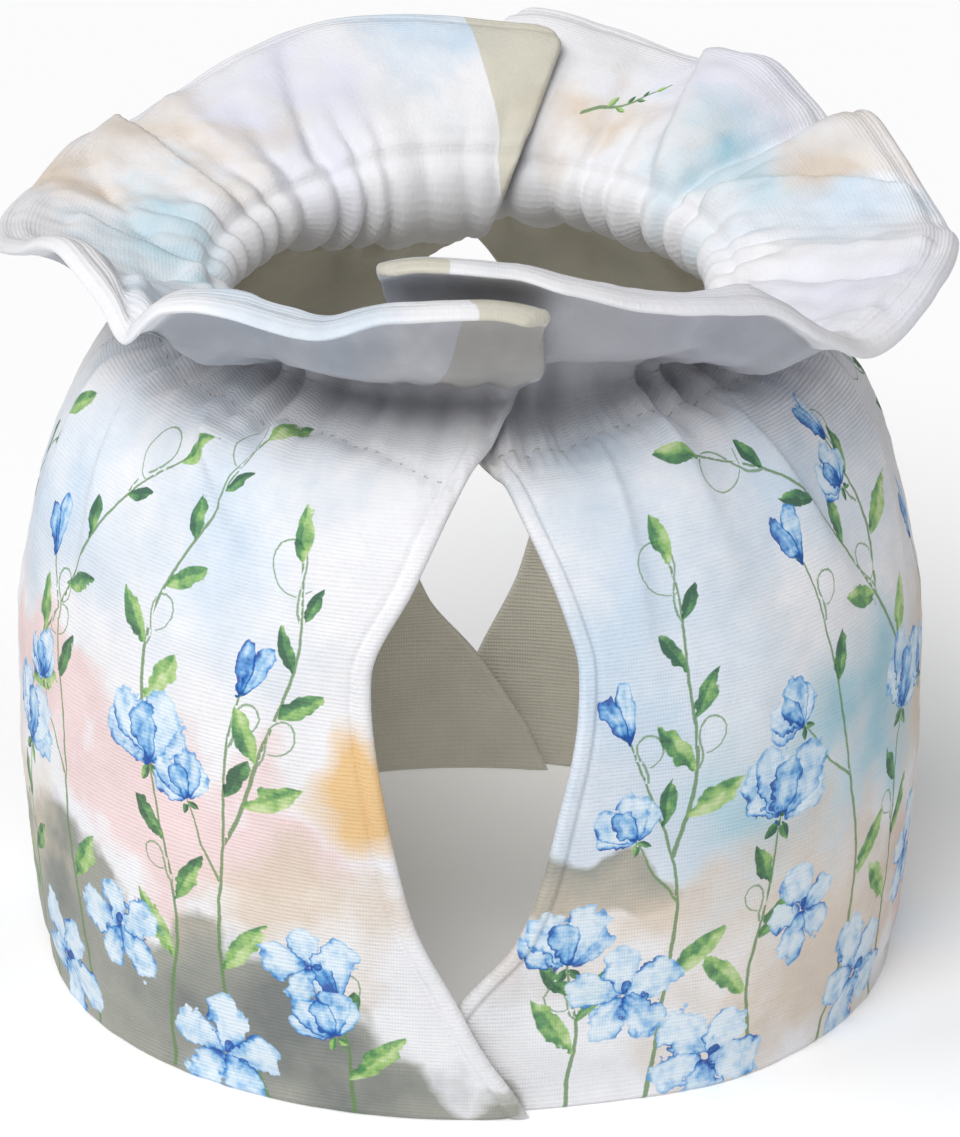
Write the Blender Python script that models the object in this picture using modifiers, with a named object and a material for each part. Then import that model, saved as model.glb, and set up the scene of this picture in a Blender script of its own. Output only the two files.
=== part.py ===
"""Slip-on tea cosy: two wrapped cloth halves that lap at the front and at the back.

Each half is one cloth from its hem at the table, over the belly and the gathered neck, to
the rim of its ruffle. The halves part in a leaf-shaped slit at the front and another at the
back. +Z is up and the front faces -Y. The origin is on the table, under the middle of the
neck. The shape is worked out in millimetres and degrees and built in metres. An azimuth is
0 at the front and grows towards +X. A level is a place along the cloth: the height up to
the neck's seam, and past it that height plus the distance out along the ruffle.
"""

import bmesh
import bpy
import numpy as np

COLLECTION = "tea_cosy"
METRE = 0.001

# Driving dimensions in millimetres
CLOTH = 2.3
RIM_ROLL = 3.2
ROLL_START = 11.0
ROLL_BLEND = 6.0
SEAM_HEIGHT = 150.5
RUFFLE_WIDTH = 46.0
RUFFLE_TOP = SEAM_HEIGHT + RUFFLE_WIDTH
LAP_STEP = 3.6
CORNER = 8.0

# The neck leans towards the front: it sits lower there and higher at the back
LEAN = 5.0
LEAN_START = 134.0

# Gathers round the neck. Two waves of so many turns and degrees keep them uneven. They fade
# out over a share of the ruffle's width, and stay shallow where the halves lap.
PLEATS = 25
PLEAT_DEPTH = 1.3
DRIFT_TURNS = 3
DRIFT = 15.0
DRIFT_START = 40.0
JITTER_TURNS = 7
JITTER = 9.0
PLEAT_START = 130.0
PLEAT_FULL = 146.0
PLEAT_REACH = 0.7
PLEAT_LEFT_IN_LAP = 0.4

# Height under the gathers from which the soft folds run down
FOLD_TOP = 140.0

# Degrees over which a half's end swings to its slit edge, and steps in or out at the lap
END_SWING = 40.0
LAP_WIDTH = 14.0
LAP_BLEND = 26.0
CORNER_TURN = 3.0

# Mesh rows from the hem to the rim, and columns from the back end to the front end
LEVELS = (
    0, 3, 11, 19, 27, 36, 47, 59, 71, 82, 92, 101, 110, 118, 125, 131.5, 136.5, 140,
    142.5, 145, 148, SEAM_HEIGHT, 155, 162, 169, 177, 184.5, 190, 193.5, RUFFLE_TOP,
)
COLUMNS = 52

PRINT_GREY = (0.70, 0.73, 0.80, 1.0)
PRINT_BLUE = (0.66, 0.76, 0.83, 1.0)
CLOTH_ROUGHNESS = 0.85


def columns(names, *rows):
    """Return the rows of a table as one array for each named column."""
    return dict(zip(names.split(), np.array(rows, float).T))


# The outer face's outline from the hem to the neck's seam
OUTLINE = columns(
    "height radius",
    (0, 90.0),
    (3, 90.0),
    (12, 92.0),
    (28, 93.5),
    (50, 95.0),
    (75, 95.0),
    (98, 91.3),
    (115, 85.3),
    (128, 78.3),
    (137, 70.0),
    (140.5, 62.5),
    (142.5, 56.5),
    (145, 52.7),
    (148, 52.3),
    (SEAM_HEIGHT, 54.0),
)

# How far a half's end runs past the middle line, in degrees; below zero it stops short
OUTER_END = columns(
    "level past",
    (0, 7.8),
    (17, 1.4),
    (27, -1.5),
    (46, -6.9),
    (73, -10.5),
    (97, -12.4),
    (115, -7.2),
    (130, -2.0),
    (138.5, 2.8),
    (145, 9.5),
    (SEAM_HEIGHT, 13.0),
)
INNER_END = columns(
    "level past",
    (0, 12.0),
    (15, 6.0),
    (26, 1.2),
    (40, -6.1),
    (62, -10.5),
    (98, -14.3),
    (109, -12.8),
    (129, -7.3),
    (138.5, -3.4),
    (145, 7.5),
    (SEAM_HEIGHT, 13.0),
)

# The ruffle's rim, a row for each crest and hollow of its folds, in azimuth order
LEFT_RIM = columns(
    "azimuth radius height",
    (-193.8, 84, 170.5),
    (-189, 83.5, 172),
    (-176, 87, 172),
    (-166, 92.5, 170.6),
    (-156, 96, 168.5),
    (-145, 96, 165.4),
    (-137, 98, 159.7),
    (-128, 99, 156.4),
    (-121, 98.5, 158),
    (-109, 98, 154.2),
    (-97, 98, 155.5),
    (-84, 98, 158.5),
    (-70, 97.5, 165.5),
    (-60, 96.5, 171.6),
    (-51, 96, 165.5),
    (-44, 98.5, 159.8),
    (-38, 97, 168.5),
    (-32, 95.5, 169.8),
    (-19, 96, 168),
    (-9, 94.5, 172.6),
    (2, 93.5, 173.4),
    (9.4, 95, 170.5),
)
RIGHT_RIM = columns(
    "azimuth radius height",
    (-11.4, 92.4, 177.3),
    (-6, 91, 179.1),
    (4, 91.4, 178),
    (11, 95, 175.2),
    (21, 96, 170.6),
    (37, 96, 168),
    (45, 99, 159.5),
    (55, 99.5, 152.2),
    (74, 100.5, 157.5),
    (85, 100.5, 157),
    (98, 100.5, 152),
    (106, 100, 154.5),
    (112, 99, 160),
    (117, 96.5, 167),
    (126, 98, 158),
    (131, 97, 163.5),
    (137, 94.5, 171.3),
    (148, 96, 166.3),
    (162, 95, 171.5),
    (171, 97, 174),
    (174.6, 97.5, 173.3),
)

# Turn of the ruffle's section between seam and rim: above zero it arches, below it sags
RUFFLE_BOW = columns(
    "azimuth bow",
    (-200, 6),
    (-150, 18),
    (-100, 8),
    (-50, -12),
    (0, -12),
    (50, -12),
    (100, 8),
    (150, 18),
    (200, 6),
)

# Soft folds below the gathers: where each starts, how far it drifts and where it ends
BODY_FOLDS = columns(
    "azimuth drift depth width foot",
    (-166, 2, 1.6, 5.0, 96),
    (-147, -3, 2.0, 6.0, 80),
    (-121, 4, 1.7, 7.0, 70),
    (-92, -3, 1.8, 7.0, 76),
    (-63, 4, 2.0, 6.5, 70),
    (-39, 6, 2.4, 4.5, 88),
    (-22, -2, 1.8, 4.0, 98),
    (21, 2, 2.2, 4.5, 92),
    (42, 3, 1.5, 5.5, 88),
    (64, -4, 2.0, 6.5, 72),
    (93, 3, 1.8, 7.0, 78),
    (119, -4, 1.7, 7.0, 70),
    (144, 3, 2.1, 6.0, 84),
    (165, -2, 1.6, 5.0, 96),
)


def ease(x):
    """Return 0 below 0, 1 above 1 and the smooth step 3x^2 - 2x^3 between."""
    x = np.clip(x, 0, 1)
    return x * x * (3 - 2 * x)


def curve(x, places, values):
    """Return a smooth curve through a table's rows that never swings past them."""
    step = np.diff(places)
    rise = np.diff(values) / step
    product = rise[:-1] * rise[1:]
    total = rise[:-1] + rise[1:]
    inner = np.where(product > 0, 2 * product / np.where(product > 0, total, 1), 0)
    slope = np.concatenate((rise[:1], inner, rise[-1:]))
    i = np.clip(np.searchsorted(places, x, side="right") - 1, 0, len(step) - 1)
    t = np.clip((x - places[i]) / step[i], 0, 1)
    start = values[i] * (1 + 2 * t) * (1 - t) ** 2 + slope[i] * step[i] * t * (1 - t) ** 2
    end = values[i + 1] * t * t * (3 - 2 * t) - slope[i + 1] * step[i] * t * t * (1 - t)
    return start + end


def end_past(level, end, rim_past):
    """Return how far a half's end runs past the middle line, up to its rounded corner."""
    width = np.clip((level - SEAM_HEIGHT) / RUFFLE_WIDTH, 0, 1)
    past = curve(level, end["level"], end["past"])
    turned = np.clip((level - RUFFLE_TOP + CORNER) / CORNER, 0, 1)
    return past + (rim_past - past) * ease(width) - CORNER_TURN * turned**2


def azimuths(level, share, turn, rim):
    """Return world azimuths, with share running from 0 at the back end to 1 at the front.

    Before its turn about the axis each half lies between -180 and 0, with the end that
    goes under at -180 and the end that goes over at 0.
    """
    plain = 180 * (share - 1)
    over = end_past(level, OUTER_END, rim["azimuth"][-1] - turn)
    under = end_past(level, INNER_END, turn - 180 - rim["azimuth"][0])
    swing = over * ease(1 + plain / END_SWING) - under * ease(1 - (plain + 180) / END_SWING)
    return turn + plain + swing


def outline(level, azimuth):
    """Return radius and height of the belly and neck, with the neck leaning forwards."""
    level = np.minimum(level, SEAM_HEIGHT)
    lean = LEAN * ease((level - LEAN_START) / (SEAM_HEIGHT - LEAN_START))
    height = level - lean * np.cos(np.radians(azimuth))
    return curve(level, OUTLINE["height"], OUTLINE["radius"]), height


def ruffle(level, azimuth, rim):
    """Return radius and height of the ruffle, an arc from the neck's seam to the rim."""
    t = (level - SEAM_HEIGHT) / RUFFLE_WIDTH
    start_radius, start_height = outline(level, azimuth)
    end_radius = curve(azimuth, rim["azimuth"], rim["radius"])
    end_height = curve(azimuth, rim["azimuth"], rim["height"])
    along, up = end_radius - start_radius, end_height - start_height
    length, flare = np.hypot(along, up), np.arctan2(up, along)
    bow = np.radians(curve(azimuth, RUFFLE_BOW["azimuth"], RUFFLE_BOW["bow"]))
    leave = length * t * (1 - t) ** 2
    arrive = -length * t * t * (1 - t)
    share = t * t * (3 - 2 * t)
    radius = leave * np.cos(flare + bow) + arrive * np.cos(flare - bow)
    height = leave * np.sin(flare + bow) + arrive * np.sin(flare - bow)
    return start_radius + along * share + radius, start_height + up * share + height


def under_lap(azimuth, turn):
    """Return 1 where a half lies under its neighbour, easing to 0 away from that end."""
    return ease((LAP_WIDTH + LAP_BLEND - 180 - azimuth + turn) / LAP_BLEND)


def near_end(azimuth, turn):
    """Return 1 at both of a half's ends, easing to 0 away from them."""
    return under_lap(azimuth, turn) + ease((azimuth - turn + LAP_WIDTH + LAP_BLEND) / LAP_BLEND)


def relief(level, azimuth):
    """Return the gathers and soft folds as a height above the smooth cloth."""
    drift = DRIFT * np.sin(np.radians(DRIFT_TURNS * azimuth + DRIFT_START))
    drift = drift + JITTER * np.sin(np.radians(JITTER_TURNS * azimuth))
    rise = ease((level - PLEAT_START) / (PLEAT_FULL - PLEAT_START))
    fall = 1 - ease((level - SEAM_HEIGHT) / (PLEAT_REACH * RUFFLE_WIDTH))
    height = PLEAT_DEPTH * rise * fall * np.cos(np.radians(PLEATS * azimuth + drift))
    for start, slip, depth, width, foot in zip(*BODY_FOLDS.values()):
        down = np.clip((FOLD_TOP - level) / (FOLD_TOP - foot), 0, 1)
        away = (azimuth - start - slip * down + 180) % 360 - 180
        fade = ease(1 - down) * (1 - ease((level - FOLD_TOP) / (PLEAT_FULL - FOLD_TOP)))
        height = height - depth * fade * np.exp(-((away / width) ** 2))
    return height


def half_points(turn, rim):
    """Return the outer face's points in millimetres, a grid of levels by columns."""
    level = np.array(LEVELS, float)[:, None]
    azimuth = azimuths(level, np.linspace(0, 1, COLUMNS + 1)[None, :], turn, rim)
    level = np.broadcast_to(level, azimuth.shape)
    low_radius, low_height = outline(level, azimuth)
    top_radius, top_height = ruffle(np.maximum(level, SEAM_HEIGHT), azimuth, rim)
    in_ruffle = level > SEAM_HEIGHT
    radius = np.where(in_ruffle, top_radius, low_radius)
    height = np.where(in_ruffle, top_height, low_height)
    angle = np.radians(azimuth)
    smooth = np.stack((radius * np.sin(angle), -radius * np.cos(angle), height), axis=-1)
    normal = np.cross(np.gradient(smooth, axis=1), np.gradient(smooth, axis=0))
    normal /= np.linalg.norm(normal, axis=-1, keepdims=True)
    lift = relief(level, azimuth) * (1 - (1 - PLEAT_LEFT_IN_LAP) * near_end(azimuth, turn))
    return smooth + normal * (lift - LAP_STEP * under_lap(azimuth, turn))[..., None]


def cloth_material(name, colour):
    """Return a plain matt cloth in the print's overall colour."""
    material = bpy.data.materials.new(name)
    material.use_nodes = True
    shader = material.node_tree.nodes["Principled BSDF"]
    shader.inputs["Base Color"].default_value = colour
    shader.inputs["Roughness"].default_value = CLOTH_ROUGHNESS
    shader.inputs["Metallic"].default_value = 0.0
    return material


def build_half(collection, name, turn, rim, colour):
    """Build one cloth: a grid moved onto the half's shape and given its thickness."""
    points = half_points(turn, rim) * METRE
    rows = len(LEVELS)
    grid = bmesh.new()
    bmesh.ops.create_grid(grid, x_segments=COLUMNS, y_segments=rows - 1, size=1.0)
    thick = []
    for vert in sorted(grid.verts, key=lambda v: (round(v.co.y, 4), round(v.co.x, 4))):
        row, column = divmod(len(thick), COLUMNS + 1)
        vert.co = points[row, column]
        vert.index = len(thick)
        thick.append(ease((LEVELS[row] - RUFFLE_TOP + ROLL_START) / ROLL_BLEND))
    grid.verts.sort()
    mesh = bpy.data.meshes.new(name)
    grid.to_mesh(mesh)
    grid.free()
    mesh.shade_smooth()
    half = bpy.data.objects.new(name, mesh)
    collection.objects.link(half)
    roll = half.vertex_groups.new(name="rim_roll")
    for index, weight in enumerate(thick):
        roll.add([index], float(weight), "REPLACE")
    wall = half.modifiers.new("cloth_thickness", "SOLIDIFY")
    wall.thickness = RIM_ROLL * METRE
    wall.offset = -1.0
    wall.vertex_group = roll.name
    wall.thickness_vertex_group = CLOTH / RIM_ROLL
    mesh.materials.append(cloth_material(name + "_cloth", colour))
    return half


def main():
    for old in list(bpy.data.objects):
        bpy.data.objects.remove(old, do_unlink=True)
    collection = bpy.data.collections.new(COLLECTION)
    bpy.context.scene.collection.children.link(collection)
    build_half(collection, "half_left", 0.0, LEFT_RIM, PRINT_GREY)
    build_half(collection, "half_right", 180.0, RIGHT_RIM, PRINT_BLUE)


main()
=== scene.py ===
"""Tea cosy: the looks of its two printed cotton halves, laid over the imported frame.

Each half is drawn as one closed cloth from the hem at the table, over the belly and the
gathered neck, to the rolled rim of its ruffle. Its outer and inner faces are surfaces of two
parameters, worked out in millimetres and degrees as whole arrays and built in metres. An
azimuth is 0 at the front (-Y) and grows towards +X. A level is a place along the cloth: the
height up to the neck's seam, and past it that height plus the distance out along the ruffle.
The print is drawn by the material from places that each corner of the mesh carries.
"""

import math

import bpy
import numpy as np
from bpy.props import FloatProperty, FloatVectorProperty, IntProperty, PointerProperty
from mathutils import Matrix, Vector


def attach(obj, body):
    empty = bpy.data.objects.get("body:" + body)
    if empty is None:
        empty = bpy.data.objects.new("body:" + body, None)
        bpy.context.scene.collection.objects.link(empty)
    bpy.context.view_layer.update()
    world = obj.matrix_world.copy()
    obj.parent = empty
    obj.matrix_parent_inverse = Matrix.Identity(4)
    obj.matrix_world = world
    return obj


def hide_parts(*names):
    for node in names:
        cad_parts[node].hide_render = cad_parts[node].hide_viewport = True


bl_info = {
    "name": "Printed Tea Cosy",
    "version": (1, 0, 0),
    "blender": (4, 5, 0),
    "location": "View3D > Sidebar > Tea Cosy",
    "description": "Builds the cloth, stitches, print and stage of a gathered tea cosy",
    "category": "Object",
}

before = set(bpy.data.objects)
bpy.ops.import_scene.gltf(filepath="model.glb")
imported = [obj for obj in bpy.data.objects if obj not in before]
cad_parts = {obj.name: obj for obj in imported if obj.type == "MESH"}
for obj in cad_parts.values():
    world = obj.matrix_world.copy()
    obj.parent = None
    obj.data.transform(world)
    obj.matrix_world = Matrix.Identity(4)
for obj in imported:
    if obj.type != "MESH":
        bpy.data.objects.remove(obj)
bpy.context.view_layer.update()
METRE = 0.001
ROOT = "root"

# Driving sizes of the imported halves, in millimetres
SEAM_HEIGHT = 150.5
RUFFLE_WIDTH = 46.0
RUFFLE_TOP = SEAM_HEIGHT + RUFFLE_WIDTH

# The rim's roll: how far inside the rim it starts, and how far it takes to thicken
ROLL_START = 11.0
ROLL_BLEND = 6.0

# The rounded corners of the ruffle's ends: their reach below the rim, and degrees at the rim
CORNER = 8.0
CORNER_TURN = 3.0

# How far the neck leans forwards, and the level from which it does
LEAN = 5.0
LEAN_START = 134.0

# The laps: the step down under the neighbour, and in degrees the lap's width, the width over
# which the step eases in, and the reach of the ends' swing
LAP_STEP = 3.6
LAP_WIDTH = 14.0
LAP_BLEND = 26.0
END_SWING = 40.0

# Levels where the body's soft folds are deepest, and where they have faded above that
FOLD_TOP = 140.0
FOLD_FADE = 146.0

# How far the outline's bends are rounded, the band up the cloth where that eases in, and the
# weights of the average that rounds them. A band is where a smooth step starts and its reach
OUTLINE_SOFT = 2.2
SOFT_RISE = (20.0, 20.0)
SOFT_WEIGHTS = ((-1, 0.5), (-0.66, 1), (-0.33, 1.5), (0, 2), (0.33, 1.5), (0.66, 1), (1, 0.5))

# The join of belly and ruffle: its reach, and how often its rows are drawn together
JOIN_REACH = 5.0
JOIN_PASSES = 14

# Gathers round the neck: how far below the channel they start and past it are full, how far
# out they reach as a share of the ruffle, and the waves that vary these: turns, size, phase
GATHER_START = 7.5
START_WAVES = ((11, 3.5, 30.0),)
GATHER_FULL = 1.5
GATHER_REACH = 0.42
REACH_WAVES = ((7, 0.14, 50.0), (13, 0.12, 0.0))
DEPTH_WAVES = ((9, 0.3, 20.0),)
PHASE_WAVES = ((3, 60.0, 40.0), (7, 50.0, 10.0), (13, 55.0, 200.0))

# The gathers' wave: how blunt its valleys are, its mean height, its share above the seam, and
# how much and how widely the seam pinches it
GATHER_BLUNT = 0.01
GATHER_MIDDLE = 0.62
RUFFLE_SHARE = 0.8
PINCH = 0.4
PINCH_WIDE = 1.2

# The laps: how much calmer their gathers are, the room between them at the neck, and the
# bands where that room eases in and out
LAP_CALM = 0.55
LAP_ROOM = 1.3
ROOM_RISE = (-4.0, 6.0)
ROOM_FALL = (-8.0, 6.0)

# The elastic's channel: its bulge, the stitched grooves on both of its sides, and the share
# of each groove that shows on the other face
CHANNEL_BULGE = 0.9
CHANNEL_GROOVE = 0.7
CHANNEL_WIDE = 0.9
CHANNEL_BACK = 0.3
SEAM_GROOVE = 0.8
SEAM_FRONT = 0.5
PUCKER = 0.35
PUCKER_PITCH = 3.6
PUCKER_REACH = 3.5

# The stitches along the channel: their sizes, the points along one and round it, how far it
# stands out in the middle and dives at its ends, and what is left free at the row's ends
STITCH_PITCH = 3.4
STITCH_LENGTH = 1.7
STITCH_THICK = 0.32
STITCH_PLAN = (9, 7)
STITCH_LIFT = 0.3
STITCH_DIVE = 0.55
STITCH_INSET = 2.0
STITCH_COLUMNS = slice(12, -12)

# The rolled rim: the stitched groove inside it, and how far the ruffle is puffed up
GROOVE_IN = 3.9
GROOVE_DEPTH = 1.0
GROOVE_WIDE = 0.75
GROOVE_FRONT = 0.4
PUFF = 0.45

# The turned hems along the slits, and the mesh columns that draw them
HEM_WIDTH = 4.0
HEM_RISE = 0.6
HEM_LINE = 4.2
HEM_LINE_WIDE = 0.6
HEM_GROOVE = 0.45
HEM_FALL = (8.0, 6.0)
HEM_STEPS = np.array((1.7, 2.3, 2.8, 3.2, 3.6, 4.0, 4.4, 4.9, 5.6))

# Small unevenness of the cloth on the belly and on the ruffle: height, pitch and seed
CREPE = (0.14, 19, 2.0)
CREPE_RUFFLE = (0.3, 24, 1.0)
CREPE_BAND = (0.0, 8.0)

# Crisp folds: the share of its line over which one rises below its top, the power of its
# falling away, and on the body and the ruffle the share over which it fades and its widening
CREST_RISE = 0.12
CREST_POWER = 1.4
BODY_SPREAD = (0.8, 1.6)
RUFFLE_SPREAD = (0.15, 0.0)

# Courses and shares of the soft lights: from the front, from the left and from the right
LIGHTS = (
    ("front_light", (0.27, 0.8, -0.95), 1.0),
    ("left_light", (1.0, 0.2, -1.05), 0.5),
    ("right_light", (-1.0, 0.3, -1.05), 0.2),
)

# The camera: the photograph's size and focal length in pixels, where the aim point lies in
# it and in the scene, the sensor in millimetres and the farthest distance seen in metres
PHOTO_SIZE = (960, 1137)
FOCAL_PIXELS = 6650.0
AIM_PIXEL = (470.0, 607.6)
AIM = (0, 0, 0.075)
SENSOR = 36.0
CLIP_END = 50.0

# How far the floor reaches from the middle, in millimetres
FLOOR_REACH = 8000.0

# How much fainter the ribs are on the ruffle than on the body, and where
SMOOTH_RUFFLE = 0.75
SMOOTH_RISE = (-12.0, 10.0)
SMOOTH_FALL = (7.0, 4.0)

# Radius of the belly on which the print is laid out flat, and its girth there
PRINT_RADIUS = 92.0
GIRTH = math.tau * PRINT_RADIUS

# Spacing of the mesh, in millimetres: the close rows start a little below the leaning neck.
# The steps next to an edge are in halves of the wall, with a gap past them at hem and rim
BELLY_STEP = 1.7
NECK_STEP = 0.85
NECK_BELOW = 6.0
RUFFLE_STEP = 1.15
COLUMN_STEP = 1.1
OUTLINE_POINTS = 1201
EDGE_STEPS = np.array((0, 0.03, 0.12, 0.3, 0.55, 0.8, 1.05))
EDGE_GAPS = (0.6, 0.4)


def columns(names, *rows):
    """Return the rows of a table as one array for each named column."""
    return dict(zip(names.split(), np.array(rows, float).T))


# The outer face's outline from the hem to the neck's seam
OUTLINE = columns(
    "height radius",
    (0, 90.0), (3, 90.0), (12, 92.0), (28, 93.5), (50, 95.0), (75, 95.0), (98, 91.3),
    (115, 85.3), (128, 78.3), (137, 70.0), (140.5, 62.5), (142.5, 56.5), (145, 52.7),
    (148, 52.3), (SEAM_HEIGHT, 54.0), (153.5, 57.6),
)

# The channel's lower stitches on each half
LEFT_CHANNEL = columns(
    "azimuth level",
    (-200, 139.5), (-30, 139.3), (-18, 137.7), (-11, 135.7), (-5, 133.4), (10, 131.0),
)
RIGHT_CHANNEL = columns(
    "azimuth level",
    (-12, 138.6), (8, 140.4), (21, 140.9), (45, 140.3), (180, 139.5),
)

# How far a half's end runs past the middle line, in degrees; below zero it stops short
OUTER_END = columns(
    "level past",
    (0, 7.8), (17, 1.4), (27, -1.5), (46, -6.9), (73, -10.5), (97, -12.4), (115, -7.2),
    (130, -2.0), (138.5, 2.8), (145, 9.5), (SEAM_HEIGHT, 13.0),
)
INNER_END = columns(
    "level past",
    (0, 12.0), (15, 6.0), (26, 1.2), (40, -6.1), (62, -10.5), (98, -14.3), (109, -12.8),
    (129, -7.3), (138.5, -3.4), (145, 7.5), (SEAM_HEIGHT, 13.0),
)

# The ruffle's rim, a row for each crest and hollow of its folds, in azimuth order
LEFT_RIM = columns(
    "azimuth radius height",
    (-193.8, 84, 170.5), (-189, 83.5, 172), (-176, 87, 172), (-166, 92.5, 170.6),
    (-156, 96, 168.5), (-145, 96, 165.4), (-137, 98, 159.7), (-128, 99, 156.4),
    (-121, 98.5, 158), (-109, 98, 154.2), (-97, 98, 155.5), (-84, 98, 158.5), (-70, 97.5, 165.5),
    (-60, 96.5, 171.6), (-51, 96, 165.5), (-44, 98.5, 159.8), (-38, 97, 168.5),
    (-32, 95.5, 169.8), (-19, 96, 168), (-9, 94.5, 172.6), (2, 93.5, 173.4), (9.4, 95, 170.5),
)
RIGHT_RIM = columns(
    "azimuth radius height",
    (-11.4, 92.4, 177.3), (-6, 91, 179.1), (4, 91.4, 178), (11, 95, 175.2), (21, 96, 170.6),
    (37, 96, 168), (45, 99, 159.5), (55, 99.5, 152.2), (74, 100.5, 157.5), (85, 100.5, 157),
    (98, 100.5, 152), (106, 100, 154.5), (112, 99, 160), (117, 96.5, 167), (126, 98, 158),
    (131, 97, 163.5), (137, 94.5, 171.3), (148, 96, 166.3), (162, 95, 171.5), (171, 97, 174),
    (174.6, 97.5, 173.3),
)

# Turn of the ruffle's section between seam and rim: above zero it arches, below it sags
RUFFLE_BOW = columns(
    "azimuth bow",
    (-200, 6), (-150, 18), (-100, 8), (-50, -12), (0, -12), (50, -12), (100, 8), (150, 18),
    (200, 6),
)

# How far the ruffle arches up just inside its rim, so that the lip turns over
LIP = columns(
    "azimuth rise",
    (-200, 1.0), (-120, 1.5), (-75, 2.0), (-48, 4.5), (-30, 5.5), (0, 5.5), (30, 5.5), (50, 4.5),
    (75, 2.0), (120, 1.5), (200, 1.0),
)
LIP_START = 24.0
LIP_SKEW = 1.47

# Soft folds below the gathers: where each starts, how far it drifts and where it ends
BODY_FOLDS = columns(
    "azimuth drift depth width foot",
    (-166, 2, 1.6, 5.0, 96), (-147, -3, 2.0, 6.0, 80), (-121, 4, 1.7, 7.0, 70),
    (-92, -3, 1.8, 7.0, 76), (-63, 4, 2.0, 6.5, 70), (-39, 6, 2.4, 4.5, 88),
    (-22, -2, 1.8, 4.0, 98), (21, 2, 2.2, 4.5, 92), (42, 3, 1.5, 5.5, 88),
    (64, -4, 2.0, 6.5, 72), (93, 3, 1.8, 7.0, 78), (119, -4, 1.7, 7.0, 70),
    (144, 3, 2.1, 6.0, 84), (165, -2, 1.6, 5.0, 96),
)

# Crisp folds of the body: each line's azimuth and level at its top and its foot, its
# height, and its reach to smaller and to larger azimuths, all in millimetres
BODY_CRESTS = columns(
    "top_azimuth top foot_azimuth foot depth before after",
    (-169, 139, -165, 104, 1.5, 8, 1.8), (-156, 140, -158, 92, 1.8, 1.6, 9),
    (-141, 139, -136, 84, 2.0, 1.8, 10), (-126, 140, -129, 96, 1.5, 1.5, 8),
    (-110, 139, -104, 80, 2.0, 1.8, 11), (-93, 140, -97, 92, 1.6, 1.6, 9),
    (-80, 140, -76, 78, 2.0, 1.8, 11), (-67, 140, -57, 84, 2.5, 1.5, 10),
    (-48, 137, -27, 112, 2.3, 1.5, 8), (-34, 140, -37, 118, 1.2, 1.2, 5),
    (-22.4, 140, -25, 92, 2.2, 1.3, 8), (23, 142, 24, 86, 2.3, 8, 1.3),
    (34, 142, 38, 108, 1.4, 6, 1.4), (47, 141, 61, 90, 2.2, 9, 1.5),
    (64, 140, 66, 110, 1.4, 6, 1.4), (80, 140, 73, 82, 2.1, 11, 1.7),
    (96, 140, 100, 90, 1.7, 9, 1.6), (112, 139, 108, 82, 2.0, 11, 1.8),
    (128, 140, 132, 96, 1.6, 8, 1.5), (143, 139, 138, 86, 2.0, 10, 1.7),
    (158, 140, 161, 100, 1.5, 8, 1.6),
)

# Crisp folds of the ruffle, in the same form, from the rim down to the neck; one below zero
# is a crease
RUFFLE_CRESTS = columns(
    "top_azimuth top foot_azimuth foot depth before after",
    (-168, 193, -166, 151, -1.8, 2.0, 5), (-160, 178, -159, 150, 1.8, 5, 1.5),
    (-154, 194, -144, 150, -2.8, 5, 1.6), (-137, 196, -131, 150, 1.6, 7, 3),
    (-128, 196, -115, 150, 3.2, 1.6, 13), (-122, 192, -92, 160, -1.5, 1.5, 5),
    (-105, 190, -96, 151, 1.8, 8, 2.0), (-97, 182, -81, 150, 2.4, 1.6, 10),
    (-70, 194, -66, 150, 1.6, 3, 8), (-46, 196, -84, 152, -2.6, 7, 1.8),
    (-56, 186, -50, 150, 1.5, 6, 2), (-30, 194, -33, 150, 1.6, 8, 2),
    (-20, 180, -20, 150, 1.3, 2, 5), (21, 194, 24, 150, 1.6, 2, 7),
    (38, 194, 36, 150, 1.8, 8, 1.8), (46, 196, 52, 151, -2.2, 2, 7),
    (62, 194, 60, 150, 1.5, 6, 2), (73, 190, 82, 151, -1.9, 1.6, 6),
    (81, 194, 92, 152, 1.5, 8, 2.5), (104, 194, 119, 150, 2.6, 9, 1.5),
    (113, 190, 124, 150, -1.4, 4, 2), (128, 196, 127, 151, -1.8, 5, 1.8),
    (145, 196, 134, 150, 3.0, 12, 1.5), (156, 192, 152, 150, -1.6, 5, 1.8),
)

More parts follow.
